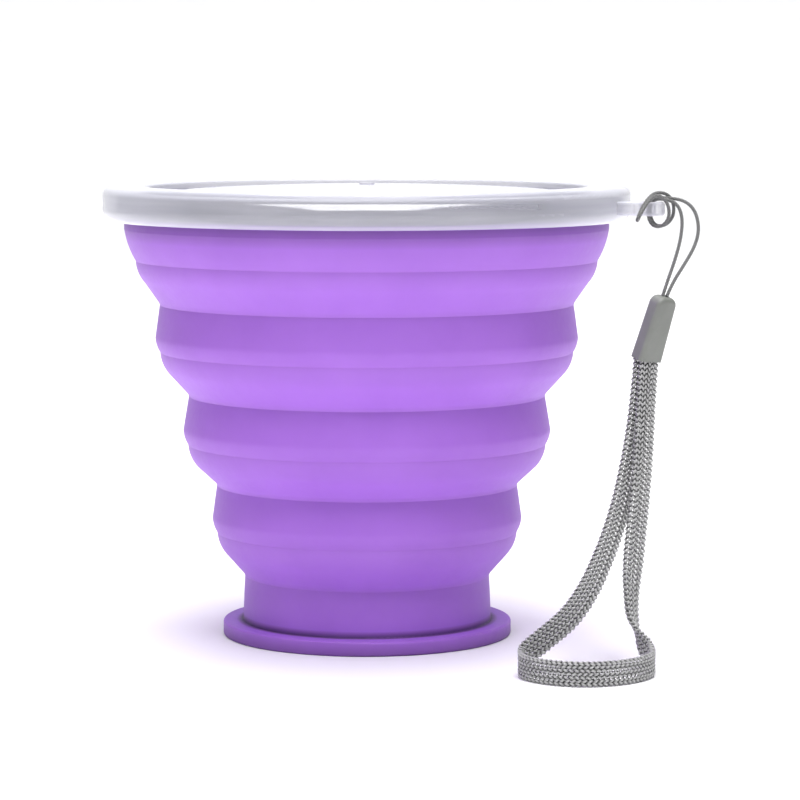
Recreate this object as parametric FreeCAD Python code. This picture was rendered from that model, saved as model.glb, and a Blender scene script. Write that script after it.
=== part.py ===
import FreeCAD, Part
import math
import os

# Collapsible travel cup, millimetres, +Z up.
# The origin is the middle of the foot's underside. +X is the side of the lid's tab, -Y the front.

# ---- driving dimensions -------------------------------------------------------------------

# Silicone body: necks are the narrow creases, notches the seats between pleat and ring above.
NECK_R = (21.9, 26.85, 31.75, 36.8)
NECK_Z = (10.6, 26.9, 42.9, 59.2)
NOTCH_R = (26.85, 31.95, 36.8, 41.0)
NOTCH_Z = (18.5, 34.3, 50.8, 67.0)
FOLDING_RINGS = 3
RING_WALL = 2.0
PLEAT_WALL = 1.4
SHOULDER_IN = 1.55
SHOULDER_DOWN = 3.8
SLANT_START_OUT = 0.25
SLANT_START_UP = 0.55
ARC_MIDDLE_IN = 0.42
ARC_MIDDLE_DOWN = 1.95
BULGE_OUT = 0.82
BULGE_UP = 2.5
STEP_OUT = 0.45
STEP_UP = 0.85

FOOT_R = 25.8
FOOT_HEIGHT = 2.6
FOOT_EDGE = 0.4
FOOT_FILLET = 0.25
BASE_ROOT_R = 22.25
FLOOR_THICKNESS = 2.4

LIP_MIDDLE_R = 42.5
LIP_MIDDLE_Z = 76.4
LIP_HALF_WIDTH = 1.7
BAND_MIDDLE_R = 42.2
BAND_MIDDLE_Z = 69.5
BAND_TOP_R = 43.0
BAND_TOP_Z = 72.6
LIP_START_Z = 73.9

# Stainless-steel rim ring, a strip rolled over the silicone lip.
STEEL_THICKNESS = 0.5
STEEL_OUTER_FOOT_Z = 74.8
STEEL_INNER_FOOT_Z = 74.9

# Lid
LID_R = 46.75
LID_WALL = 1.1
LID_FOOT_Z = 74.1
LID_TOP_Z = 80.2
LID_EDGE_RADIUS = 1.5
LID_INNER_EDGE_RADIUS = 0.6
RIM_INNER_R = 40.1
TROUGH_OUTER_R = 38.9
TROUGH_INNER_R = 33.7
TROUGH_Z = 75.6
TROUGH_WALL = 1.0
DISC_R = 32.8
DISC_EDGE_Z = 79.4
DOME_Z = 80.4
SOFT_CORNER = 0.5
CURL_Z = 76.5
CURL_OUT_MIDDLE = (46.38, 74.9)
CURL_OUT_R = 45.3
CURL_IN_MIDDLE = (45.42, 75.5)
CURL_IN_R = 44.88
CURL_IN_Z = 74.8
CURL_TIP_Z = 74.4
GATE_R = 1.35
GATE_HEIGHT = 0.25

# Tab for the cord, on the lid's skirt, turned towards the front
TAB_AZIMUTH = -20.0
TAB_LOW_Z = 75.5
TAB_HIGH_Z = 77.9
TAB_EYE_DISTANCE = 51.6
TAB_EYE_R = 3.0
TAB_HOLE_R = 1.4
TAB_NECK_WIDTH = 4.2
TAB_ROOT_DISTANCE = 46.05
TAB_FILLET = 0.55

# Clip between the thin cord and the wrist strap
CLIP_TOP = (51.05, -24.05, 62.0)
CLIP_BOTTOM = (48.1, -22.0, 51.1)
CLIP_YAW = 35.0
CLIP_WIDTH = 5.2
CLIP_TOP_WIDTH = 4.2
CLIP_THICKNESS = 3.0
CLIP_FILLET = 0.8
CLIP_SHOULDER = 1.5

# Thin braided cord, one open length from the clip, hitched through the tab, back to the clip
CORD_DIAMETER = 0.65
CORD_ROUTE = [
    (50.65, -24.1, 62.0), (51.6, -23.5, 64.8), (52.9, -22.5, 68.2), (54.0, -21.4, 72.0),
    (54.3, -20.4, 75.4), (53.4, -19.6, 77.7), (51.5, -19.3, 78.4), (49.5, -18.5, 78.4),
    (48.5, -18.2, 77.0), (48.6, -18.2, 75.0), (49.4, -18.8, 73.7), (50.9, -19.8, 73.7),
    (52.0, -20.5, 75.2), (51.9, -20.7, 77.3), (50.8, -20.7, 78.9), (49.3, -21.0, 79.1),
    (48.0, -21.8, 77.7), (46.9, -23.1, 76.1), (46.4, -23.2, 74.9), (46.4, -21.8, 74.9),
    (46.9, -21.6, 76.2), (48.0, -20.7, 78.2), (49.7, -18.9, 79.6), (51.9, -17.8, 79.3),
    (53.0, -17.7, 77.7), (53.0, -17.7, 75.4), (51.7, -17.5, 73.8), (49.9, -17.3, 73.7),
    (49.0, -17.3, 75.2), (48.9, -17.2, 77.3), (49.9, -17.6, 78.5), (52.3, -18.5, 78.6),
    (54.9, -19.4, 78.1), (56.6, -20.3, 76.3), (57.1, -21.2, 73.1), (56.2, -22.0, 70.2),
    (54.2, -22.9, 67.0), (52.4, -23.6, 64.3), (51.4, -24.0, 62.0),
]

# Flat braided wrist strap, one open length from the clip round the front and back to the clip.
# Its solid is a tube as thick as the braid.
STRAP_THICKNESS = 1.3
STRAP_ROUTE = [
    (47.7, -21.4, 51.2), (47.0, -22.9, 43.9), (45.7, -25.2, 35.5), (43.5, -28.5, 26.4),
    (41.0, -32.0, 19.7), (37.7, -36.0, 13.2), (34.3, -38.6, 8.9), (30.2, -40.6, 5.9),
    (26.6, -42.0, 3.4), (25.6, -44.6, 2.3), (26.9, -48.3, 2.15), (30.6, -51.9, 2.15),
    (35.4, -53.6, 2.15), (40.6, -52.6, 2.15), (45.3, -49.2, 2.15), (48.0, -44.6, 2.2),
    (48.0, -40.2, 2.8), (46.3, -37.2, 4.8), (45.0, -35.0, 8.2), (45.0, -32.6, 13.2),
    (45.7, -30.2, 19.5), (46.6, -28.4, 27.0), (47.4, -26.3, 35.4), (47.9, -24.3, 43.6),
    (48.5, -22.6, 51.0),
]

ARC_SHARE = 0.45
UP = FreeCAD.Vector(0, 0, 1)
ORIGIN = FreeCAD.Vector(0, 0, 0)
FULL_TURN = 360.0


# ---- helpers ------------------------------------------------------------------------------

def at(r, z):
    """A point of a turned section: distance from the axis and height."""
    return FreeCAD.Vector(r, 0, z)


def line(a, b):
    """A straight edge between two points."""
    return Part.LineSegment(a, b).toShape()


def arc(a, middle, b):
    """A round edge through three points."""
    return Part.Arc(a, middle, b).toShape()


def open_outline(steps):
    """Edges through the points of steps. A step is a point, or a pair: the arc's middle, its end."""
    here = steps[0]
    edges = []
    for step in steps[1:]:
        if isinstance(step, tuple):
            edges.append(arc(here, step[0], step[1]))
            here = step[1]
        else:
            edges.append(line(here, step))
            here = step
    return edges


def turned(steps):
    """A solid turned about Z from the closed section that steps describes."""
    edges = open_outline(steps + [steps[0]])
    return Part.Face(Part.Wire(edges)).revolve(ORIGIN, UP, FULL_TURN)


def corner(point, before, after, radius):
    """Two steps that round the corner at point, between the points before and after it."""
    into = (before - point).normalize()
    out = (after - point).normalize()
    half = into.getAngle(out) / 2
    reach = radius / math.tan(half)
    centre = point + (into + out).normalize() * (radius / math.sin(half))
    middle = centre + (point - centre).normalize() * radius
    return [point + into * reach, (middle, point + out * reach)]


def save(node, shape):
    """Write one node's solid, after checking that it is whole."""
    assert shape.isValid(), node
    shape.exportStep(os.path.join("parts", node + ".step"))
    print(f"{node}: {len(shape.Solids)} solid, {shape.Volume:.0f} mm3")


# ---- silicone body ------------------------------------------------------------------------

def ring_face(notch_r, notch_z, neck_r, neck_z, inset):
    """One face of a ring from its notch up to its neck, moved inwards by inset."""
    return [
        at(notch_r - inset, notch_z),
        (at(notch_r + STEP_OUT - inset, notch_z + STEP_UP),
         at(notch_r + BULGE_OUT - inset, notch_z + BULGE_UP)),
        at(neck_r - inset, neck_z),
    ]


def pleat_face(neck_r, neck_z, notch_r, notch_z, inset):
    """One face of a pleat from its neck, along the slant and over the shoulder to its notch."""
    return [
        at(neck_r - inset, neck_z),
        at(neck_r + SLANT_START_OUT - inset, neck_z + SLANT_START_UP),
        at(notch_r - SHOULDER_IN - inset, notch_z - SHOULDER_DOWN),
        (at(notch_r - ARC_MIDDLE_IN - inset, notch_z - ARC_MIDDLE_DOWN),
         at(notch_r - inset, notch_z)),
    ]


def reversed_outline(steps):
    """The same outline walked the other way."""
    points = [steps[0]]
    middles = []
    for step in steps[1:]:
        middles.append(step[0] if isinstance(step, tuple) else None)
        points.append(step[1] if isinstance(step, tuple) else step)
    back = [points[-1]]
    for point, middle in zip(reversed(points[:-1]), reversed(middles)):
        back.append((middle, point) if middle else point)
    return back


def walled(face, wall):
    """A turned wall between a face's outline and the same outline further in."""
    outer = face(0)
    inner = reversed_outline(face(wall))
    return turned(outer + inner)


def silicone_ring(level):
    """A thicker ring between a notch and the neck above it. Level 1 is the lowest."""
    low = (NOTCH_R[level - 1], NOTCH_Z[level - 1])
    high = (NECK_R[level], NECK_Z[level])
    return walled(lambda inset: ring_face(*low, *high, inset), RING_WALL)


def silicone_pleat(level):
    """A thin pleat between a neck and the notch above it. Level 1 is the lowest."""
    low = (NECK_R[level - 1], NECK_Z[level - 1])
    high = (NOTCH_R[level - 1], NOTCH_Z[level - 1])
    return walled(lambda inset: pleat_face(*low, *high, inset), PLEAT_WALL)


def silicone_base():
    """The foot flange, the cup's floor and the base cylinder up to the first neck."""
    wall_r = NECK_R[0]
    inner_r = wall_r - RING_WALL
    foot_top = at(FOOT_R, FOOT_HEIGHT)
    foot_low = at(FOOT_R, 0)
    root = at(BASE_ROOT_R, FOOT_HEIGHT)
    top = at(wall_r, NECK_Z[0])
    steps = [at(0, 0)]
    steps += corner(foot_low, at(0, 0), foot_top, FOOT_EDGE)
    steps += corner(foot_top, foot_low, root, FOOT_EDGE)
    steps += corner(root, foot_top, top, FOOT_FILLET)
    steps += [top, at(inner_r, NECK_Z[0])]
    steps += corner(at(inner_r, FLOOR_THICKNESS), at(inner_r, NECK_Z[0]), at(0, FLOOR_THICKNESS), FOOT_EDGE)
    steps += [at(0, FLOOR_THICKNESS)]
    return turned(steps)


def rim_band():
    """The top band, flaring up from the last notch to the lip that carries the steel ring."""
    notch_r, notch_z = NOTCH_R[-1], NOTCH_Z[-1]
    lip_out = LIP_MIDDLE_R + LIP_HALF_WIDTH
    lip_in = LIP_MIDDLE_R - LIP_HALF_WIDTH
    neck_in = BAND_TOP_R - RING_WALL
    steps = [
        at(notch_r, notch_z),
        (at(BAND_MIDDLE_R, BAND_MIDDLE_Z), at(BAND_TOP_R, BAND_TOP_Z)),
        at(BAND_TOP_R, LIP_START_Z),
        at(lip_out, STEEL_OUTER_FOOT_Z),
        at(lip_out, LIP_MIDDLE_Z),
        (at(LIP_MIDDLE_R, LIP_MIDDLE_Z + LIP_HALF_WIDTH), at(lip_in, LIP_MIDDLE_Z)),
        at(lip_in, STEEL_INNER_FOOT_Z),
        at(neck_in, BAND_TOP_Z),
        at(notch_r - RING_WALL, notch_z),
    ]
    return turned(steps)


# ---- steel ring ---------------------------------------------------------------------------

def steel_rim():
    """A steel strip rolled over the lip: an outer leg, a half-round top and an inner leg."""
    outside = LIP_HALF_WIDTH + STEEL_THICKNESS
    steps = [
        at(LIP_MIDDLE_R + outside, STEEL_OUTER_FOOT_Z),
        at(LIP_MIDDLE_R + outside, LIP_MIDDLE_Z),
        (at(LIP_MIDDLE_R, LIP_MIDDLE_Z + outside), at(LIP_MIDDLE_R - outside, LIP_MIDDLE_Z)),
        at(LIP_MIDDLE_R - outside, STEEL_INNER_FOOT_Z),
        at(LIP_MIDDLE_R - LIP_HALF_WIDTH, STEEL_INNER_FOOT_Z),
        at(LIP_MIDDLE_R - LIP_HALF_WIDTH, LIP_MIDDLE_Z),
        (at(LIP_MIDDLE_R, LIP_MIDDLE_Z + LIP_HALF_WIDTH),
         at(LIP_MIDDLE_R + LIP_HALF_WIDTH, LIP_MIDDLE_Z)),
        at(LIP_MIDDLE_R + LIP_HALF_WIDTH, STEEL_OUTER_FOOT_Z),
    ]
    return turned(steps)


# ---- lid ----------------------------------------------------------------------------------

def lid_shell():
    """The lid's wall: skirt with its foot curled in, raised rim, trough and domed disc."""
    inner_r = LID_R - LID_WALL
    rim_under = LID_TOP_Z - LID_WALL
    top_corner = at(LID_R, LID_TOP_Z)
    rim_in = at(RIM_INNER_R - TROUGH_WALL, LID_TOP_Z)
    trough_out = at(TROUGH_OUTER_R, TROUGH_Z)
    trough_in = at(TROUGH_INNER_R, TROUGH_Z)
    disc_corner = at(DISC_R, DISC_EDGE_Z)
    dome_mid_r = DISC_R / 2
    dome_rise = DOME_Z - DISC_EDGE_Z
    dome_mid_z = DISC_EDGE_Z + 0.75 * dome_rise
    under = TROUGH_WALL
    steps = [at(inner_r, CURL_Z)]
    steps += [(at(*CURL_IN_MIDDLE), at(CURL_IN_R, CURL_IN_Z)), at(CURL_IN_R, CURL_TIP_Z)]
    steps += [at(CURL_OUT_R, LID_FOOT_Z), (at(*CURL_OUT_MIDDLE), at(LID_R, CURL_Z))]
    steps += corner(top_corner, at(LID_R, CURL_Z), rim_in, LID_EDGE_RADIUS)
    steps += corner(rim_in, top_corner, trough_out, SOFT_CORNER)
    steps += corner(trough_out, rim_in, trough_in, SOFT_CORNER)
    steps += corner(trough_in, trough_out, disc_corner, SOFT_CORNER)
    steps += corner(disc_corner, trough_in, at(dome_mid_r, dome_mid_z), SOFT_CORNER)
    steps += [(at(dome_mid_r, dome_mid_z), at(0, DOME_Z)), at(0, DOME_Z - under)]
    steps += [(at(dome_mid_r, dome_mid_z - under), at(DISC_R - 1.3, DISC_EDGE_Z - under))]
    steps += [at(TROUGH_INNER_R - 0.9, TROUGH_Z - under)]
    steps += [at(TROUGH_OUTER_R + 0.8, TROUGH_Z - under)]
    steps += [at(RIM_INNER_R - 0.05, rim_under)]
    steps += corner(at(inner_r, rim_under), at(RIM_INNER_R, rim_under), at(inner_r, CURL_Z),
                    LID_INNER_EDGE_RADIUS)
    return turned(steps)


def lid_tab():
    """The tab on the skirt: a neck and a round eye with a hole for the cord, softened all round."""
    height = TAB_HIGH_Z - TAB_LOW_Z
    neck_length = TAB_EYE_DISTANCE - TAB_ROOT_DISTANCE
    neck = Part.makeBox(neck_length, TAB_NECK_WIDTH, height,
                        FreeCAD.Vector(TAB_ROOT_DISTANCE, -TAB_NECK_WIDTH / 2, TAB_LOW_Z))
    eye_middle = FreeCAD.Vector(TAB_EYE_DISTANCE, 0, TAB_LOW_Z)
    eye = Part.makeCylinder(TAB_EYE_R, height, eye_middle)
    hole = Part.makeCylinder(TAB_HOLE_R, height, eye_middle)
    tab = neck.fuse(eye).removeSplitter().cut(hole)
    rims = [e for e in tab.Edges if is_flat_edge(e) and not at_root(e)]
    tab = tab.makeFillet(TAB_FILLET, rims)
    tab.rotate(ORIGIN, UP, TAB_AZIMUTH)
    return tab


def is_flat_edge(edge):
    """Whether an edge lies level."""
    return edge.BoundBox.ZLength < 1e-6


def at_root(edge):
    """Whether an edge lies in the tab's root face, inside the lid's skirt."""
    return edge.BoundBox.XMax < TAB_ROOT_DISTANCE + 1e-6


def lid():
    """The whole lid, with the small round mark of its moulding gate in the middle."""
    gate = Part.makeCylinder(GATE_R, GATE_HEIGHT + TROUGH_WALL / 2,
                             FreeCAD.Vector(0, 0, DOME_Z - TROUGH_WALL / 2))
    return lid_shell().fuse([lid_tab(), gate])


# ---- lanyard ------------------------------------------------------------------------------

def route_path(points):
    """Straight runs joined by tangent arcs through a list of points. Gives the wire and the radii."""
    points = [FreeCAD.Vector(*p) for p in points]
    here = points[0]
    edges = []
    radii = []
    for before, point, after in zip(points, points[1:], points[2:]):
        into = before - point
        out = after - point
        turn = math.pi - into.getAngle(out)
        radius = ARC_SHARE * min(into.Length, out.Length) / math.tan(turn / 2)
        reach = ARC_SHARE * min(into.Length, out.Length)
        radii.append(radius)
        into.normalize()
        out.normalize()
        start = point + into * reach
        end = point + out * reach
        centre = point + (into + out).normalize() * (radius / math.cos(turn / 2))
        middle = centre + (point - centre).normalize() * radius
        edges.append(line(here, start))
        edges.append(arc(start, middle, end))
        here = end
    edges.append(line(here, points[-1]))
    return Part.Wire(edges), radii


def tube(name, points, diameter):
    """A round tube along a route, with its bends and its volume printed."""
    path, radii = route_path(points)
    start = FreeCAD.Vector(*points[0])
    section = Part.Wire(Part.Circle(start, path.Edges[0].tangentAt(0), diameter / 2).toShape())
    solid = path.makePipeShell([section], True, False)
    expected = math.pi * diameter ** 2 / 4 * path.Length
    print(f"{name}: length {path.Length:.1f} mm, volume {solid.Volume:.2f} against {expected:.2f} mm3")
    print(f"{name}: bend radii from {min(radii):.2f} to {max(radii):.2f} mm")
    print(" ", ", ".join(f"{r:.2f}" for r in radii))
    return solid


def lanyard_cord():
    """The thin cord, hitched through the tab's eye."""
    return tube("lanyard_cord", CORD_ROUTE, CORD_DIAMETER)


def lanyard_strap():
    """The wrist strap's loop."""
    return tube("lanyard_strap", STRAP_ROUTE, STRAP_THICKNESS)


def lanyard_clip():
    """The clip: a flat tapered block with round shoulders, set along the line of the lanyard."""
    top = FreeCAD.Vector(*CLIP_TOP)
    bottom = FreeCAD.Vector(*CLIP_BOTTOM)
    axis = (top - bottom).normalize()
    length = (top - bottom).Length
    half_low = CLIP_WIDTH / 2
    half_high = CLIP_TOP_WIDTH / 2
    depth = CLIP_THICKNESS / 2
    low_left = FreeCAD.Vector(-half_low, -depth, 0)
    low_right = FreeCAD.Vector(half_low, -depth, 0)
    high_right = FreeCAD.Vector(half_high, -depth, length)
    high_left = FreeCAD.Vector(-half_high, -depth, length)
    steps = [low_left, low_right]
    steps += corner(high_right, low_right, high_left, CLIP_SHOULDER)
    steps += corner(high_left, high_right, low_left, CLIP_SHOULDER)
    face = Part.Face(Part.Wire(open_outline(steps + [low_left])))
    block = face.extrude(FreeCAD.Vector(0, CLIP_THICKNESS, 0))
    softened = [e for e in block.Edges if e.BoundBox.ZMax > 1e-6]
    block = block.makeFillet(CLIP_FILLET, softened)
    across = FreeCAD.Vector(math.cos(math.radians(CLIP_YAW)), math.sin(math.radians(CLIP_YAW)), 0)
    across = (across - axis * across.dot(axis)).normalize()
    turn = FreeCAD.Rotation(across, axis.cross(across), axis, "ZXY")
    block.Placement = FreeCAD.Placement(bottom, turn)
    return block


# ---- build --------------------------------------------------------------------------------

def build():
    """Every node's name and solid."""
    nodes = {
        "silicone_base": silicone_base(),
        "rim_band": rim_band(),
        "steel_rim": steel_rim(),
        "lid": lid(),
        "lanyard_cord": lanyard_cord(),
        "lanyard_clip": lanyard_clip(),
        "lanyard_strap": lanyard_strap(),
    }
    for level in range(1, FOLDING_RINGS + 1):
        nodes[f"silicone_ring_{level}"] = silicone_ring(level)
    for level in range(1, len(NOTCH_R) + 1):
        nodes[f"silicone_pleat_{level}"] = silicone_pleat(level)
    return nodes


os.makedirs("parts", exist_ok=True)
for node, shape in build().items():
    save(node, shape)
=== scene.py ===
import math

import bpy
from mathutils import Matrix, Vector


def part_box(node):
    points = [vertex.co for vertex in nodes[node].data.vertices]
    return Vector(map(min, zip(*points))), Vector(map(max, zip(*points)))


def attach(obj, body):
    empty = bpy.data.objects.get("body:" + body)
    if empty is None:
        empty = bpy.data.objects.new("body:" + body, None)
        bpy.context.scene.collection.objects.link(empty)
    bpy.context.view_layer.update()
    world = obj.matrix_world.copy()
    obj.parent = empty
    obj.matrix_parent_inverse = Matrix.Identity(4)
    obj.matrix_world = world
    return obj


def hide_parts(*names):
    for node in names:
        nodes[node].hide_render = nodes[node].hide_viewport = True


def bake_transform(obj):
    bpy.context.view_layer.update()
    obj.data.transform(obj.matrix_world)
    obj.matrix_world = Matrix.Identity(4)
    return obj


# Collapsible travel cup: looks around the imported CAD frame. Metres, +Z up, -Y is the front.

MM = 0.001
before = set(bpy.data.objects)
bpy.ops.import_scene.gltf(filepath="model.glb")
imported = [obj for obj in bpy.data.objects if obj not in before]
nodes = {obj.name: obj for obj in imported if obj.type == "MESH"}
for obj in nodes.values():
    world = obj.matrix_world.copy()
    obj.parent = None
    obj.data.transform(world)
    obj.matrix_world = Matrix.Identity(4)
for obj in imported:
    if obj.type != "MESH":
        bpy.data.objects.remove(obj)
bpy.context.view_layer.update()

# ---- driving values -----------------------------------------------------------------------

TURN_STEPS = 192
FULL_TURN = 2 * math.pi
SHARP_ANGLE = 40
ARC_POINTS = 4

# Silicone outlines. Heights and outer radii come from the CAD boxes; these are what a box can't say.
NECK_R = (21.9 * MM, 26.85 * MM, 31.75 * MM, 36.8 * MM)
RING_WALL = 2.0 * MM
PLEAT_WALL = 1.4 * MM
STEP_OUT, STEP_UP = 0.45 * MM, 0.85 * MM
BULGE_OUT, BULGE_UP = 0.82 * MM, 2.5 * MM
SLANT_START_OUT, SLANT_START_UP = 0.25 * MM, 0.55 * MM
SHOULDER_IN, SHOULDER_DOWN = 1.55 * MM, 3.8 * MM
ARC_MIDDLE_IN, ARC_MIDDLE_DOWN = 0.42 * MM, 1.95 * MM
OUTLINE_STEP = 0.45 * MM

# Creases with painted shade, where shadow gathers on the silicone: radius, height, reach and deepest
# shade.
BASE_CREASE_SHADE = [(22.25 * MM, 2.6 * MM, 1.2 * MM, 0.2), (25.8 * MM, 0.0, 3.0 * MM, 0.5)]
RIM_CREASE_SHADE = [(43.0 * MM, 73.9 * MM, 3.2 * MM, 0.5)]

# Routes: the thin cord and the wrist strap, from the clip and back to it.
CORD_DIAMETER = 0.65 * MM
CORD_ROUTE_MM = [
    (50.65, -24.1, 62.0), (51.6, -23.5, 64.8), (52.9, -22.5, 68.2), (54.0, -21.4, 72.0),
    (54.3, -20.4, 75.4), (53.4, -19.6, 77.7), (51.5, -19.3, 78.4), (49.5, -18.5, 78.4),
    (48.5, -18.2, 77.0), (48.6, -18.2, 75.0), (49.4, -18.8, 73.7), (50.9, -19.8, 73.7),
    (52.0, -20.5, 75.2), (51.9, -20.7, 77.3), (50.8, -20.7, 78.9), (49.3, -21.0, 79.1),
    (48.0, -21.8, 77.7), (46.9, -23.1, 76.1), (46.4, -23.2, 74.9), (46.4, -21.8, 74.9),
    (46.9, -21.6, 76.2), (48.0, -20.7, 78.2), (49.7, -18.9, 79.6), (51.9, -17.8, 79.3),
    (53.0, -17.7, 77.7), (53.0, -17.7, 75.4), (51.7, -17.5, 73.8), (49.9, -17.3, 73.7),
    (49.0, -17.3, 75.2), (48.9, -17.2, 77.3), (49.9, -17.6, 78.5), (52.3, -18.5, 78.6),
    (54.9, -19.4, 78.1), (56.6, -20.3, 76.3), (57.1, -21.2, 73.1), (56.2, -22.0, 70.2),
    (54.2, -22.9, 67.0), (52.4, -23.6, 64.3), (51.4, -24.0, 62.0),
]
STRAP_WIDTH = 4.2 * MM
STRAP_THICKNESS = 1.0 * MM
STRAP_ROUTE_MM = [
    (47.7, -21.4, 51.2), (47.0, -22.9, 43.9), (45.7, -25.2, 35.5), (43.5, -28.5, 26.4),
    (41.0, -32.0, 19.7), (37.7, -36.0, 13.2), (34.3, -38.6, 8.9), (30.2, -40.6, 5.9),
    (26.6, -42.0, 3.4), (25.6, -44.6, 2.3), (26.9, -48.3, 2.15), (30.6, -51.9, 2.15),
    (35.4, -53.6, 2.15), (40.6, -52.6, 2.15), (45.3, -49.2, 2.15), (48.0, -44.6, 2.2),
    (48.0, -40.2, 2.8), (46.3, -37.2, 4.8), (45.0, -35.0, 8.2), (45.0, -32.6, 13.2),
    (45.7, -30.2, 19.5), (46.6, -28.4, 27.0), (47.4, -26.3, 35.4), (47.9, -24.3, 43.6),
    (48.5, -22.6, 51.0),
]
# Which way the strap's width points, at shares of its length: across at the clip, upright on the floor.
STRAP_LEANS = [
    (0.0, (-0.74, -0.55, 0.2)), (0.15, (-0.74, -0.5, 0.3)), (0.3, (-0.6, -0.2, 0.6)),
    (0.4, (0, 0, 1)), (0.65, (0, 0, 1)), (0.71, (-0.5, -0.6, 0.6)), (0.78, (-0.8, -0.5, 0.1)),
    (1.0, (-0.74, -0.55, 0.2)),
]

# Curves: points between neighbouring route points, and the spacing along each braid
ROUTE_RESOLUTION = 24
ROUTE_ORDER = 3
STRAP_STEP = 0.2 * MM
CORD_STEP = 0.12 * MM

# Materials: each pair of colours or roughnesses is the low and the high end of the surface's mottling
SILICONE_COLOURS = ((0.395, 0.158, 0.71, 1), (0.425, 0.175, 0.75, 1))
SILICONE_ROUGHNESS = (0.50, 0.60)
SILICONE_IOR = 1.41
SILICONE_SUBSURFACE = 0.12
SILICONE_SUBSURFACE_RADIUS = (1.0, 0.6, 1.4)
SILICONE_SUBSURFACE_SCALE = 0.002
SILICONE_SHEEN = 0.05
SILICONE_SHEEN_ROUGHNESS = 0.4
STEEL_LEVELS = (0.40, 0.54)
STEEL_ROUGHNESS = (0.10, 0.20)
STEEL_LINES = (1, 1, 60)
LID_COLOURS = ((0.60, 0.60, 0.68, 1), (0.70, 0.70, 0.77, 1))
LID_ROUGHNESS = (0.12, 0.18)
LID_IOR = 1.49
LID_FLOW = (1, 1, 22)
LID_WALL_HAZE = (0.36, 0.9)
LID_WALL_HAZE_AT = (0.25, 0.9)
LID_FOOT_HAZE = (0.6, 0.0)
LID_FOOT_HAZE_AT = (0.05, 0.2)
CLIP_COLOURS = ((0.19, 0.198, 0.182, 1), (0.225, 0.234, 0.217, 1))
CLIP_ROUGHNESS = (0.42, 0.55)
# Yarns: the painted shade where a strand dives under another, then the yarn's own grey.
BRAID_SHADE_AND_GREY = (0.01, 0.56)
BRAID_ROUGHNESS = 0.25
CORD_SHADE_AND_GREY = (0.03, 0.26)
CORD_ROUGHNESS = 0.42
FIBRE_STRETCH = (14, 0.25, 1)
FIBRE_SHADE = 0.75
FIBRE_ROUGHNESS_SPREAD = 0.1

# Camera
CAMERA_PLACE = Vector((5.9, -558.6, 96.5)) * MM
CAMERA_DOWN = 5.583
CAMERA_LENS = 141.3
CAMERA_SENSOR = 36

# Stage: the floor, and the wall that stands only where the sine of its direction passes the opening
STUDIO_WHITE = (0.94, 0.94, 0.95, 1)
STUDIO_ROUGHNESS = 0.8
STUDIO_SPECULAR = 0.1
FLOOR_R = 2.2
FLOOR_CORE_R = 0.3
SWEEP_BEND = 0.7
SWEEP_HEIGHT = 2.4
SWEEP_ROWS = 12
SWEEP_COLUMNS = 96
SWEEP_OPENING = 0.72

# Lights: name, place, target, size and power in watts
LIGHTS = [
    ("overhead", (0, 0.05, 1.7), (0, 0, 0), (1.2, 1.5), 40),
    ("front_floor", (0, -0.75, 1.3), (0, -0.5, 0), (1.0, 0.5), 12),
    ("backdrop", (0, 0.9, 2.0), (0, 2.2, 0.5), (1.2, 0.8), 12),
    ("front_left", (-0.95, -0.88, 0.4), (0, 0, 0.05), (0.45, 0.9), 0.35),
    ("front_right", (0.95, -0.88, 0.4), (0, 0, 0.05), (0.45, 0.9), 0.35),
]
SURROUND_COLOUR = (1, 1, 1, 1)
SURROUND_STRENGTH = 0.06


# ---- small helpers ------------------------------------------------------------------------

def link(obj):
    """Put an object in the scene."""
    bpy.context.scene.collection.objects.link(obj)
    return obj


def mesh_object(name, verts, faces, uvs=None):
    """A smooth mesh object from points and faces; uvs holds one pair for each face corner."""
    mesh = bpy.data.meshes.new(name)
    mesh.from_pydata(verts, [], faces)
    if uvs:
        layer = mesh.uv_layers.new(name="UVMap")
        layer.data.foreach_set("uv", [value for pair in uvs for value in pair])
    mesh.validate()
    mesh.polygons.foreach_set("use_smooth", [True] * len(mesh.polygons))
    return link(bpy.data.objects.new(name, mesh))


def at(r, z):
    """A point of a turned outline: distance from the axis and height."""
    return Vector((r, z))


def straight(a, b):
    """Points after a up to b, no further apart than the outline's step."""
    count = max(1, math.ceil((b - a).length / OUTLINE_STEP))
    return [a.lerp(b, k / count) for k in range(1, count + 1)]


def arc(a, middle, b):
    """Points after a up to b on the circle through all three."""
    first = middle - a
    second = b - a
    cross = 2 * (first.x * second.y - first.y * second.x)
    across = second.y * first.length_squared - first.y * second.length_squared
    along = first.x * second.length_squared - second.x * first.length_squared
    centre = a + Vector((across, along)) / cross
    start = a - centre
    sweep = start.angle_signed(b - centre)
    count = max(ARC_POINTS, math.ceil(abs(sweep) * start.length / OUTLINE_STEP))
    points = []
    for k in range(1, count + 1):
        spoke = start.copy()
        spoke.rotate(Matrix.Rotation(-sweep * k / count, 2))
        points.append(centre + spoke)
    return points


def outline(steps):
    """Points through steps. A step is a point, or a pair: an arc's middle and its end."""
    points = [steps[0]]
    for step in steps[1:]:
        if isinstance(step, tuple):
            points.extend(arc(points[-1], *step))
        else:
            points.extend(straight(points[-1], step))
    return points


def turned(name, points):
    """A closed turned mesh from the points (r, z) of its section, which stays clear of the axis."""
    verts = []
    rings = []
    for r, z in points:
        rings.append(list(range(len(verts), len(verts) + TURN_STEPS)))
        for k in range(TURN_STEPS):
            angle = FULL_TURN * k / TURN_STEPS
            verts.append((r * math.cos(angle), r * math.sin(angle), z))
    faces = []
    for low, high in zip(rings, rings[1:] + rings[:1]):
        for k in range(TURN_STEPS):
            n = (k + 1) % TURN_STEPS
            faces.append((low[k], low[n], high[n], high[k]))
    piece = mesh_object(name, verts, faces)
    piece.data.set_sharp_from_angle(angle=math.radians(SHARP_ANGLE))
    return piece


# ---- materials ----------------------------------------------------------------------------

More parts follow.
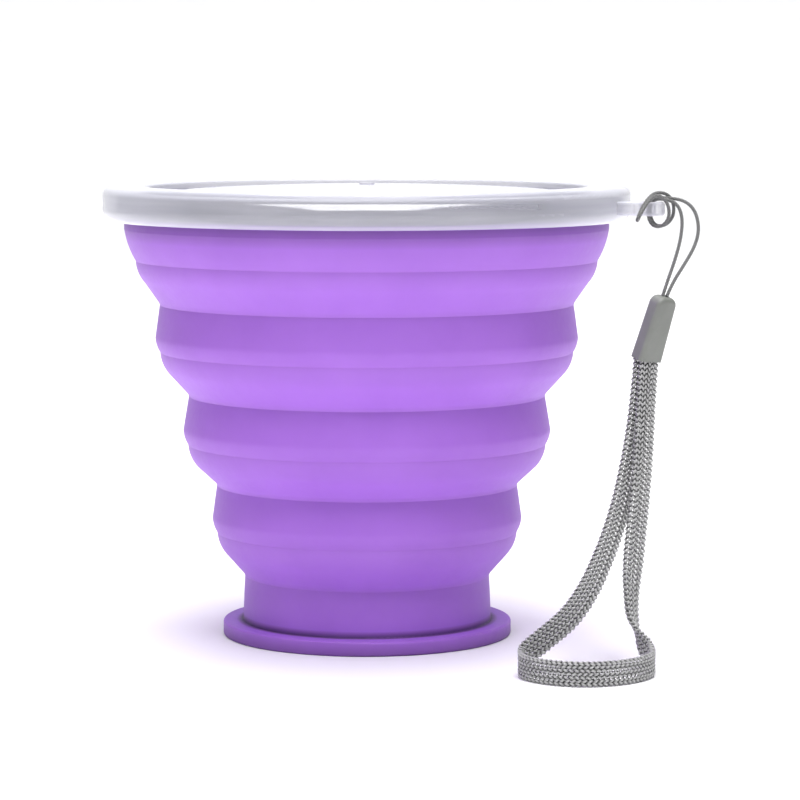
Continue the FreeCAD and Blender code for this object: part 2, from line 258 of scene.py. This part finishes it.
def new_material(name):
    """A material with its Principled shader, and the node tree's tools."""
    material = bpy.data.materials.new(name)
    material.use_nodes = True
    tree = material.node_tree
    return material, tree, tree.nodes["Principled BSDF"]


def noise(tree, scale, detail=4, roughness=0.55, coords="Object", stretch=(1, 1, 1)):
    """A noise texture in object space, scaled per metre."""
    place = tree.nodes.new("ShaderNodeTexCoord")
    mapping = tree.nodes.new("ShaderNodeMapping")
    mapping.inputs["Scale"].default_value = stretch
    texture = tree.nodes.new("ShaderNodeTexNoise")
    texture.inputs["Scale"].default_value = scale
    texture.inputs["Detail"].default_value = detail
    texture.inputs["Roughness"].default_value = roughness
    tree.links.new(place.outputs[coords], mapping.inputs["Vector"])
    tree.links.new(mapping.outputs["Vector"], texture.inputs["Vector"])
    return texture.outputs["Fac"]


def ramp(tree, value, low, high, low_at=0.3, high_at=0.7):
    """A two-colour ramp on a value."""
    node = tree.nodes.new("ShaderNodeValToRGB")
    node.color_ramp.elements[0].position = low_at
    node.color_ramp.elements[0].color = low
    node.color_ramp.elements[1].position = high_at
    node.color_ramp.elements[1].color = high
    tree.links.new(value, node.inputs["Fac"])
    return node.outputs["Color"]


def grey(level):
    """A grey colour."""
    return (level, level, level, 1)


def grey_ramp(tree, value, levels, low_at=0.3, high_at=0.7):
    """A ramp between two grey levels."""
    low, high = levels
    return ramp(tree, value, grey(low), grey(high), low_at, high_at)


def bump(tree, shader, value, height, strength):
    """Bump the shader's surface by a value, height in metres."""
    node = tree.nodes.new("ShaderNodeBump")
    node.inputs["Distance"].default_value = height
    node.inputs["Strength"].default_value = strength
    tree.links.new(value, node.inputs["Height"])
    tree.links.new(node.outputs["Normal"], shader.inputs["Normal"])


def painted_crease_shade(tree, colour, crease):
    """Painted shade: a colour darkened round a circular crease where shadow falls; its radius, height,
    reach and deepest shade.
    """
    radius, height, reach, shade = crease
    place = tree.nodes.new("ShaderNodeTexCoord")
    flat = tree.nodes.new("ShaderNodeVectorMath")
    flat.operation = "MULTIPLY"
    flat.inputs[1].default_value = (1, 1, 0)
    from_axis = tree.nodes.new("ShaderNodeVectorMath")
    from_axis.operation = "LENGTH"
    split = tree.nodes.new("ShaderNodeSeparateXYZ")
    section = tree.nodes.new("ShaderNodeCombineXYZ")
    distance = tree.nodes.new("ShaderNodeVectorMath")
    distance.operation = "DISTANCE"
    distance.inputs[1].default_value = (radius, 0, height)
    shade_falloff = tree.nodes.new("ShaderNodeMapRange")
    shade_falloff.inputs["From Max"].default_value = reach
    shade_falloff.inputs["To Min"].default_value = shade
    shade_mix = tree.nodes.new("ShaderNodeMix")
    shade_mix.data_type = "RGBA"
    shade_mix.blend_type = "MULTIPLY"
    shade_mix.inputs["Factor"].default_value = 1.0
    tree.links.new(place.outputs["Object"], flat.inputs[0])
    tree.links.new(flat.outputs["Vector"], from_axis.inputs[0])
    tree.links.new(place.outputs["Object"], split.inputs["Vector"])
    tree.links.new(from_axis.outputs["Value"], section.inputs["X"])
    tree.links.new(split.outputs["Z"], section.inputs["Z"])
    tree.links.new(section.outputs["Vector"], distance.inputs[0])
    tree.links.new(distance.outputs["Value"], shade_falloff.inputs["Value"])
    tree.links.new(colour, shade_mix.inputs["A"])
    tree.links.new(shade_falloff.outputs["Result"], shade_mix.inputs["B"])
    return shade_mix.outputs["Result"]


def silicone_material(name, crease_shades=()):
    """Matt purple silicone: soft skin, faint mottling, a little light passing through, and painted shade
    round any listed crease.
    """
    material, tree, shader = new_material(name)
    mottle = noise(tree, 90, detail=3)
    colour = ramp(tree, mottle, *SILICONE_COLOURS)
    # Painted shade: the colour darkens round each crease, where shadow falls.
    for crease in crease_shades:
        colour = painted_crease_shade(tree, colour, crease)
    tree.links.new(colour, shader.inputs["Base Color"])
    grain = noise(tree, 900, detail=3)
    tree.links.new(grey_ramp(tree, grain, SILICONE_ROUGHNESS), shader.inputs["Roughness"])
    shader.inputs["Subsurface Weight"].default_value = SILICONE_SUBSURFACE
    shader.inputs["Subsurface Radius"].default_value = SILICONE_SUBSURFACE_RADIUS
    shader.inputs["Subsurface Scale"].default_value = SILICONE_SUBSURFACE_SCALE
    shader.inputs["Sheen Weight"].default_value = SILICONE_SHEEN
    shader.inputs["Sheen Roughness"].default_value = SILICONE_SHEEN_ROUGHNESS
    shader.inputs["IOR"].default_value = SILICONE_IOR
    bump(tree, shader, noise(tree, 2600, detail=2), 0.02 * MM, 0.35)
    return material


def steel_material():
    """Drawn stainless steel with fine lines running round the ring."""
    material, tree, shader = new_material("steel")
    lines = noise(tree, 60, detail=6, roughness=0.7, stretch=STEEL_LINES)
    tree.links.new(grey_ramp(tree, lines, STEEL_LEVELS), shader.inputs["Base Color"])
    tree.links.new(grey_ramp(tree, lines, STEEL_ROUGHNESS), shader.inputs["Roughness"])
    shader.inputs["Metallic"].default_value = 1.0
    bump(tree, shader, lines, 0.01 * MM, 0.4)
    return material


def lid_material():
    """Natural polypropylene: clear where seen straight through, milky along the wall and in the foot."""
    material, tree, shader = new_material("lid_plastic")
    flow = noise(tree, 25, detail=2, stretch=LID_FLOW)
    tree.links.new(ramp(tree, flow, *LID_COLOURS), shader.inputs["Base Color"])
    grain = noise(tree, 700, detail=2)
    tree.links.new(grey_ramp(tree, grain, LID_ROUGHNESS), shader.inputs["Roughness"])
    shader.inputs["IOR"].default_value = LID_IOR
    sight = tree.nodes.new("ShaderNodeLayerWeight")
    sight.inputs["Blend"].default_value = 0.5
    wall_haze = grey_ramp(tree, sight.outputs["Facing"], LID_WALL_HAZE, *LID_WALL_HAZE_AT)
    place = tree.nodes.new("ShaderNodeTexCoord")
    height = tree.nodes.new("ShaderNodeSeparateXYZ")
    tree.links.new(place.outputs["Generated"], height.inputs["Vector"])
    foot_haze = grey_ramp(tree, height.outputs["Z"], LID_FOOT_HAZE, *LID_FOOT_HAZE_AT)
    both = tree.nodes.new("ShaderNodeMath")
    both.operation = "MAXIMUM"
    tree.links.new(wall_haze, both.inputs[0])
    tree.links.new(foot_haze, both.inputs[1])
    tree.links.new(both.outputs["Value"], shader.inputs["Alpha"])
    bump(tree, shader, flow, 0.1 * MM, 0.05)
    return material


def clip_material():
    """Grey moulded plastic with a fine satin texture."""
    material, tree, shader = new_material("clip_plastic")
    grain = noise(tree, 2500, detail=3)
    tree.links.new(ramp(tree, noise(tree, 250), *CLIP_COLOURS), shader.inputs["Base Color"])
    tree.links.new(grey_ramp(tree, grain, CLIP_ROUGHNESS), shader.inputs["Roughness"])
    bump(tree, shader, grain, 0.02 * MM, 0.4)
    return material


def yarn_material(name, levels, roughness):
    """Shiny filament yarn: fine fibres along each strand, with painted shade where it dives under
    another.
    """
    material, tree, shader = new_material(name)
    under_shade, light = levels
    fibres = noise(tree, 1.0, detail=3, coords="UV", stretch=FIBRE_STRETCH)
    colour = grey_ramp(tree, fibres, (FIBRE_SHADE * light, light))
    # Painted shade: how raised the strand is mixes its colour towards the shade level where it lies
    # under another.
    raised = tree.nodes.new("ShaderNodeAttribute")
    raised.attribute_name = "raised"
    shade_mix = tree.nodes.new("ShaderNodeMix")
    shade_mix.data_type = "RGBA"
    tree.links.new(raised.outputs["Fac"], shade_mix.inputs["Factor"])
    shade_mix.inputs["A"].default_value = grey(under_shade)
    tree.links.new(colour, shade_mix.inputs["B"])
    tree.links.new(shade_mix.outputs["Result"], shader.inputs["Base Color"])
    spread = (roughness + FIBRE_ROUGHNESS_SPREAD, roughness - FIBRE_ROUGHNESS_SPREAD)
    tree.links.new(grey_ramp(tree, fibres, spread), shader.inputs["Roughness"])
    bump(tree, shader, fibres, 0.03 * MM, 0.6)
    return material


# ---- silicone body ------------------------------------------------------------------------

def ring_face(notch_r, notch_z, neck_r, neck_z):
    """The outer face of a ring from its notch up to its neck."""
    return outline([
        at(notch_r, notch_z),
        (at(notch_r + STEP_OUT, notch_z + STEP_UP), at(notch_r + BULGE_OUT, notch_z + BULGE_UP)),
        at(neck_r, neck_z),
    ])


def pleat_face(neck_r, neck_z, notch_r, notch_z):
    """The outer face of a pleat from its neck, along the slant and over the shoulder."""
    return outline([
        at(neck_r, neck_z),
        at(neck_r + SLANT_START_OUT, neck_z + SLANT_START_UP),
        at(notch_r - SHOULDER_IN, notch_z - SHOULDER_DOWN),
        (at(notch_r - ARC_MIDDLE_IN, notch_z - ARC_MIDDLE_DOWN), at(notch_r, notch_z)),
    ])


def walled(name, face, wall):
    """A turned wall between a face and the same face further in."""
    inner = [point - at(wall, 0) for point in face]
    return turned(name, face + inner[::-1])


def silicone_ring(level):
    """A rigid ring of the body between a notch and the neck above it."""
    node = f"silicone_ring_{level}"
    low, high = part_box(node)
    face = ring_face(high.x - BULGE_OUT, low.z, NECK_R[level], high.z)
    return walled(f"ring_{level}_look", face, RING_WALL), node


def silicone_pleat(level):
    """A thin pleat of the body between a neck and the notch above it."""
    node = f"silicone_pleat_{level}"
    low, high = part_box(node)
    face = pleat_face(NECK_R[level - 1], low.z, high.x, high.z)
    return walled(f"pleat_{level}_look", face, PLEAT_WALL), node


# ---- cords --------------------------------------------------------------------------------

def route_curve(name, points_mm):
    """A bevel-less NURBS curve with the route's points as its control points."""
    curve = bpy.data.curves.new(name, "CURVE")
    curve.dimensions = "3D"
    curve.resolution_u = ROUTE_RESOLUTION
    spline = curve.splines.new("NURBS")
    spline.points.add(len(points_mm) - 1)
    for point, place in zip(spline.points, points_mm):
        point.co = (*(Vector(place) * MM), 1)
    spline.order_u = ROUTE_ORDER
    spline.use_endpoint_u = True
    return link(bpy.data.objects.new(name, curve))


def centreline(name, points_mm, step):
    """Evenly spaced points along the route's smooth line, read from its curve."""
    guide = route_curve(name, points_mm)
    bpy.context.view_layer.update()
    line = bpy.data.meshes.new_from_object(guide)
    dense = [v.co.copy() for v in line.vertices]
    bpy.data.meshes.remove(line)
    bpy.data.objects.remove(guide)
    total = sum((b - a).length for a, b in zip(dense, dense[1:]))
    count = round(total / step)
    spaced = [dense[0]]
    walked = 0.0
    for a, b in zip(dense, dense[1:]):
        piece = (b - a).length
        while len(spaced) < count and walked + piece >= len(spaced) * total / count:
            share = (len(spaced) * total / count - walked) / piece
            spaced.append(a.lerp(b, share))
        walked += piece
    spaced.append(dense[-1])
    return spaced


def tangents(line):
    """The direction of a line at each of its points."""
    ends = [line[0]] + line + [line[-1]]
    return [(c - a).normalized() for a, c in zip(ends, ends[2:])]


def smoothstep(t):
    """A share between 0 and 1, eased at both ends."""
    return t * t * (3 - 2 * t)


def leaning(share, leans):
    """The direction asked for at a share of the length, eased between the listed ones."""
    for (a, low), (b, high) in zip(leans, leans[1:]):
        if share <= b:
            return Vector(low).lerp(Vector(high), smoothstep((share - a) / (b - a)))
    return Vector(leans[-1][1])


def flat_frames(line, leans):
    """(place, direction, across, outward) along a flat strap."""
    frames = []
    for i, (place, along) in enumerate(zip(line, tangents(line))):
        lean = leaning(i / (len(line) - 1), leans)
        across = (lean - along * lean.dot(along)).normalized()
        frames.append((place, along, across, along.cross(across)))
    return frames


def carried_frames(line):
    """(place, direction, across, outward) along a round cord, without twist."""
    frames = []
    across = None
    for place, along in zip(line, tangents(line)):
        seed = across if across else along.orthogonal()
        across = (seed - along * seed.dot(along)).normalized()
        frames.append((place, along, across, along.cross(across)))
    return frames


def yarn_ring(centre, along, out, half_width, half_depth, sides):
    """The points round a flattened strand whose flat side faces out."""
    side = along.cross(out).normalized()
    out = side.cross(along)
    ring = []
    for k in range(sides):
        angle = FULL_TURN * k / sides
        ring.append(centre + side * half_width * math.cos(angle) + out * half_depth * math.sin(angle))
    return ring


def add_strand(strand, half_width, half_depth, sides, mesh, step):
    """Append one closed strand, a list of (centre, outward, raised), to a growing mesh."""
    verts, faces, uvs, shades = mesh
    centres = [centre for centre, out, raised in strand]
    first = len(verts)
    for (centre, out, raised), along in zip(strand, tangents(centres)):
        verts.extend(yarn_ring(centre, along, out, half_width, half_depth, sides))
        shades.extend([raised] * sides)
    count = len(centres)
    for i in range(count - 1):
        for k in range(sides):
            n = (k + 1) % sides
            low = first + i * sides
            high = low + sides
            faces.append((low + k, low + n, high + n, high + k))
            u0, u1 = k / sides, (k + 1) / sides
            v0, v1 = i * step / MM, (i + 1) * step / MM
            uvs.extend([(u0, v0), (u1, v0), (u1, v1), (u0, v1)])
    low_cap = tuple(first + k for k in reversed(range(sides)))
    high_cap = tuple(first + (count - 1) * sides + k for k in range(sides))
    for cap in (low_cap, high_cap):
        faces.append(cap)
        uvs.extend([(0.5, 0.0)] * sides)


def braid_object(name, mesh):
    """The object of a finished braid, with how far each point is raised kept for its material's painted
    shade.
    """
    verts, faces, uvs, shades = mesh
    braid = mesh_object(name, verts, faces, uvs)
    layer = braid.data.attributes.new("raised", "FLOAT", "POINT")
    layer.data.foreach_set("value", shades)
    return braid


def zigzag(t):
    """A triangle wave between -1 and 1 with period 1, and whether it is rising."""
    t = t % 1.0
    return (4 * t - 1, True) if t < 0.5 else (3 - 4 * t, False)


def flat_braid(name, frames, step):
    """A flat braid: strands cross from edge to edge and swap over and under in columns."""
    sides = 6
    edge_ease = 0.25
    strands = 17
    lay = 15.5 * MM
    columns = 8
    half_width = 0.20 * MM
    half_depth = 0.14 * MM
    reach = STRAP_WIDTH / 2 - half_width
    lift = STRAP_THICKNESS / 2 - half_depth
    mesh = ([], [], [], [])
    for strand in range(strands):
        points = []
        for i, (place, along, across, outward) in enumerate(frames):
            swing, rising = zigzag(i * step / lay + strand / strands)
            eased = (1 + edge_ease) * swing - edge_ease * swing ** 5
            weave = math.cos(math.pi * (swing + 1) / 2 * columns)
            side = weave if rising else -weave
            points.append((place + across * eased * reach + outward * side * lift, outward, abs(weave)))
        add_strand(points, half_width, half_depth, sides, mesh, step)
    return braid_object(name, mesh)


def round_braid(name, frames, step):
    """A round braid: strands wind both ways round the core and cross over and under."""
    sides = 5
    each_way = 4
    lay = 2.6 * MM
    half_width = 0.14 * MM
    half_depth = 0.075 * MM
    lift_share = 0.6
    radius = CORD_DIAMETER / 2 - (1 + lift_share) * half_depth
    lift = lift_share * half_depth
    mesh = ([], [], [], [])
    for way in (1, -1):
        for strand in range(each_way):
            points = []
            for i, (place, along, across, outward) in enumerate(frames):
                wind = i * step / lay
                angle = FULL_TURN * (way * wind + strand / each_way)
                weave = way * math.cos(FULL_TURN * wind * each_way)
                out = across * math.cos(angle) + outward * math.sin(angle)
                points.append((place + out * (radius + weave * lift), out, (weave + 1) / 2))
            add_strand(points, half_width, half_depth, sides, mesh, step)
    return braid_object(name, mesh)


# ---- assembly -----------------------------------------------------------------------------

def finish_piece(piece, node, material):
    """Give a piece its material and let it stand for its CAD node."""
    piece.data.materials.clear()
    piece.data.materials.append(material)
    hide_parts(node)


def carry_over(node, material):
    """Show a CAD node as it is, with a better material."""
    mesh = nodes[node].data
    mesh.materials.clear()
    mesh.materials.append(material)


def build_body(material):
    """Rings ride on their own bodies; pleats are baked in place and ride on none."""
    bodies = ["base", "ring_1", "ring_2", "ring_3", "rim"]
    for level in range(1, 4):
        piece, node = silicone_ring(level)
        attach(piece, bodies[level])
        finish_piece(piece, node, material)
    for level in range(1, 5):
        piece, node = silicone_pleat(level)
        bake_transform(piece)
        finish_piece(piece, node, material)
    # The base and the rim band get painted shade: at the foot, along the floor and under the lid.
    carry_over("silicone_base", silicone_material("silicone_base", BASE_CREASE_SHADE))
    carry_over("rim_band", silicone_material("silicone_rim_shaded", RIM_CREASE_SHADE))


def build_lanyard():
    """The braided strap and the thin cord, and the clip that joins them."""
    carry_over("lanyard_clip", clip_material())

    line = centreline("strap_route", STRAP_ROUTE_MM, STRAP_STEP)
    strap = flat_braid("wrist_strap", flat_frames(line, STRAP_LEANS), STRAP_STEP)
    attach(strap, "lid")
    finish_piece(strap, "lanyard_strap", yarn_material("braid", BRAID_SHADE_AND_GREY, BRAID_ROUGHNESS))

    line = centreline("cord_route", CORD_ROUTE_MM, CORD_STEP)
    thin = round_braid("thin_cord", carried_frames(line), CORD_STEP)
    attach(thin, "lid")
    finish_piece(thin, "lanyard_cord", yarn_material("cord", CORD_SHADE_AND_GREY, CORD_ROUGHNESS))


# ---- stage --------------------------------------------------------------------------------

def build_stage():
    """A round white floor that curves up into a wall behind the object."""
    rows = [at(FLOOR_CORE_R, 0), at(FLOOR_R - SWEEP_BEND, 0)]
    centre = at(FLOOR_R - SWEEP_BEND, SWEEP_BEND)
    for k in range(1, SWEEP_ROWS + 1):
        angle = math.pi / 2 * k / SWEEP_ROWS
        rows.append(centre + at(math.sin(angle), -math.cos(angle)) * SWEEP_BEND)
    rows.append(at(FLOOR_R, SWEEP_HEIGHT))
    verts = []
    for row in rows:
        for k in range(SWEEP_COLUMNS):
            angle = FULL_TURN * k / SWEEP_COLUMNS
            verts.append((row.x * math.cos(angle), row.x * math.sin(angle), row.y))
    faces = [tuple(range(SWEEP_COLUMNS))]
    for i in range(len(rows) - 1):
        for k in range(SWEEP_COLUMNS):
            middle = FULL_TURN * (k + 0.5) / SWEEP_COLUMNS
            if i > 0 and math.sin(middle) < SWEEP_OPENING:
                continue
            n = (k + 1) % SWEEP_COLUMNS
            low, high = i * SWEEP_COLUMNS, (i + 1) * SWEEP_COLUMNS
            faces.append((low + k, high + k, high + n, low + n))
    sweep = mesh_object("studio_sweep", verts, faces)
    material, tree, shader = new_material("studio_white")
    shader.inputs["Base Color"].default_value = STUDIO_WHITE
    shader.inputs["Roughness"].default_value = STUDIO_ROUGHNESS
    shader.inputs["Specular IOR Level"].default_value = STUDIO_SPECULAR
    sweep.data.materials.append(material)


def area_light(name, place, target, size, power):
    """A soft rectangular light at place, facing target."""
    light = bpy.data.lights.new(name, "AREA")
    light.shape = "RECTANGLE"
    light.size, light.size_y = size
    light.energy = power
    lamp = link(bpy.data.objects.new(name, light))
    lamp.location = place
    lamp.rotation_euler = (Vector(target) - Vector(place)).to_track_quat("-Z", "Y").to_euler()


def build_light():
    """Soft lights overhead, on the floor in front and on the backdrop, and a dim white surround."""
    for light in LIGHTS:
        area_light(*light)
    world = bpy.data.worlds.new("studio")
    world.use_nodes = True
    world.node_tree.nodes["Background"].inputs["Color"].default_value = SURROUND_COLOUR
    world.node_tree.nodes["Background"].inputs["Strength"].default_value = SURROUND_STRENGTH
    bpy.context.scene.world = world
    bpy.context.scene.view_settings.view_transform = "Standard"


def build_camera():
    """The camera, level with the lid and looking a little down."""
    camera = bpy.data.cameras.new("camera")
    camera.lens = CAMERA_LENS
    camera.sensor_width = CAMERA_SENSOR
    holder = link(bpy.data.objects.new("camera", camera))
    holder.location = CAMERA_PLACE
    holder.rotation_euler = (math.radians(90 - CAMERA_DOWN), 0, 0)
    bpy.context.scene.camera = holder


silicone = silicone_material("silicone")
build_body(silicone)
carry_over("steel_rim", steel_material())
carry_over("lid", lid_material())
build_lanyard()
build_stage()
build_light()
build_camera()
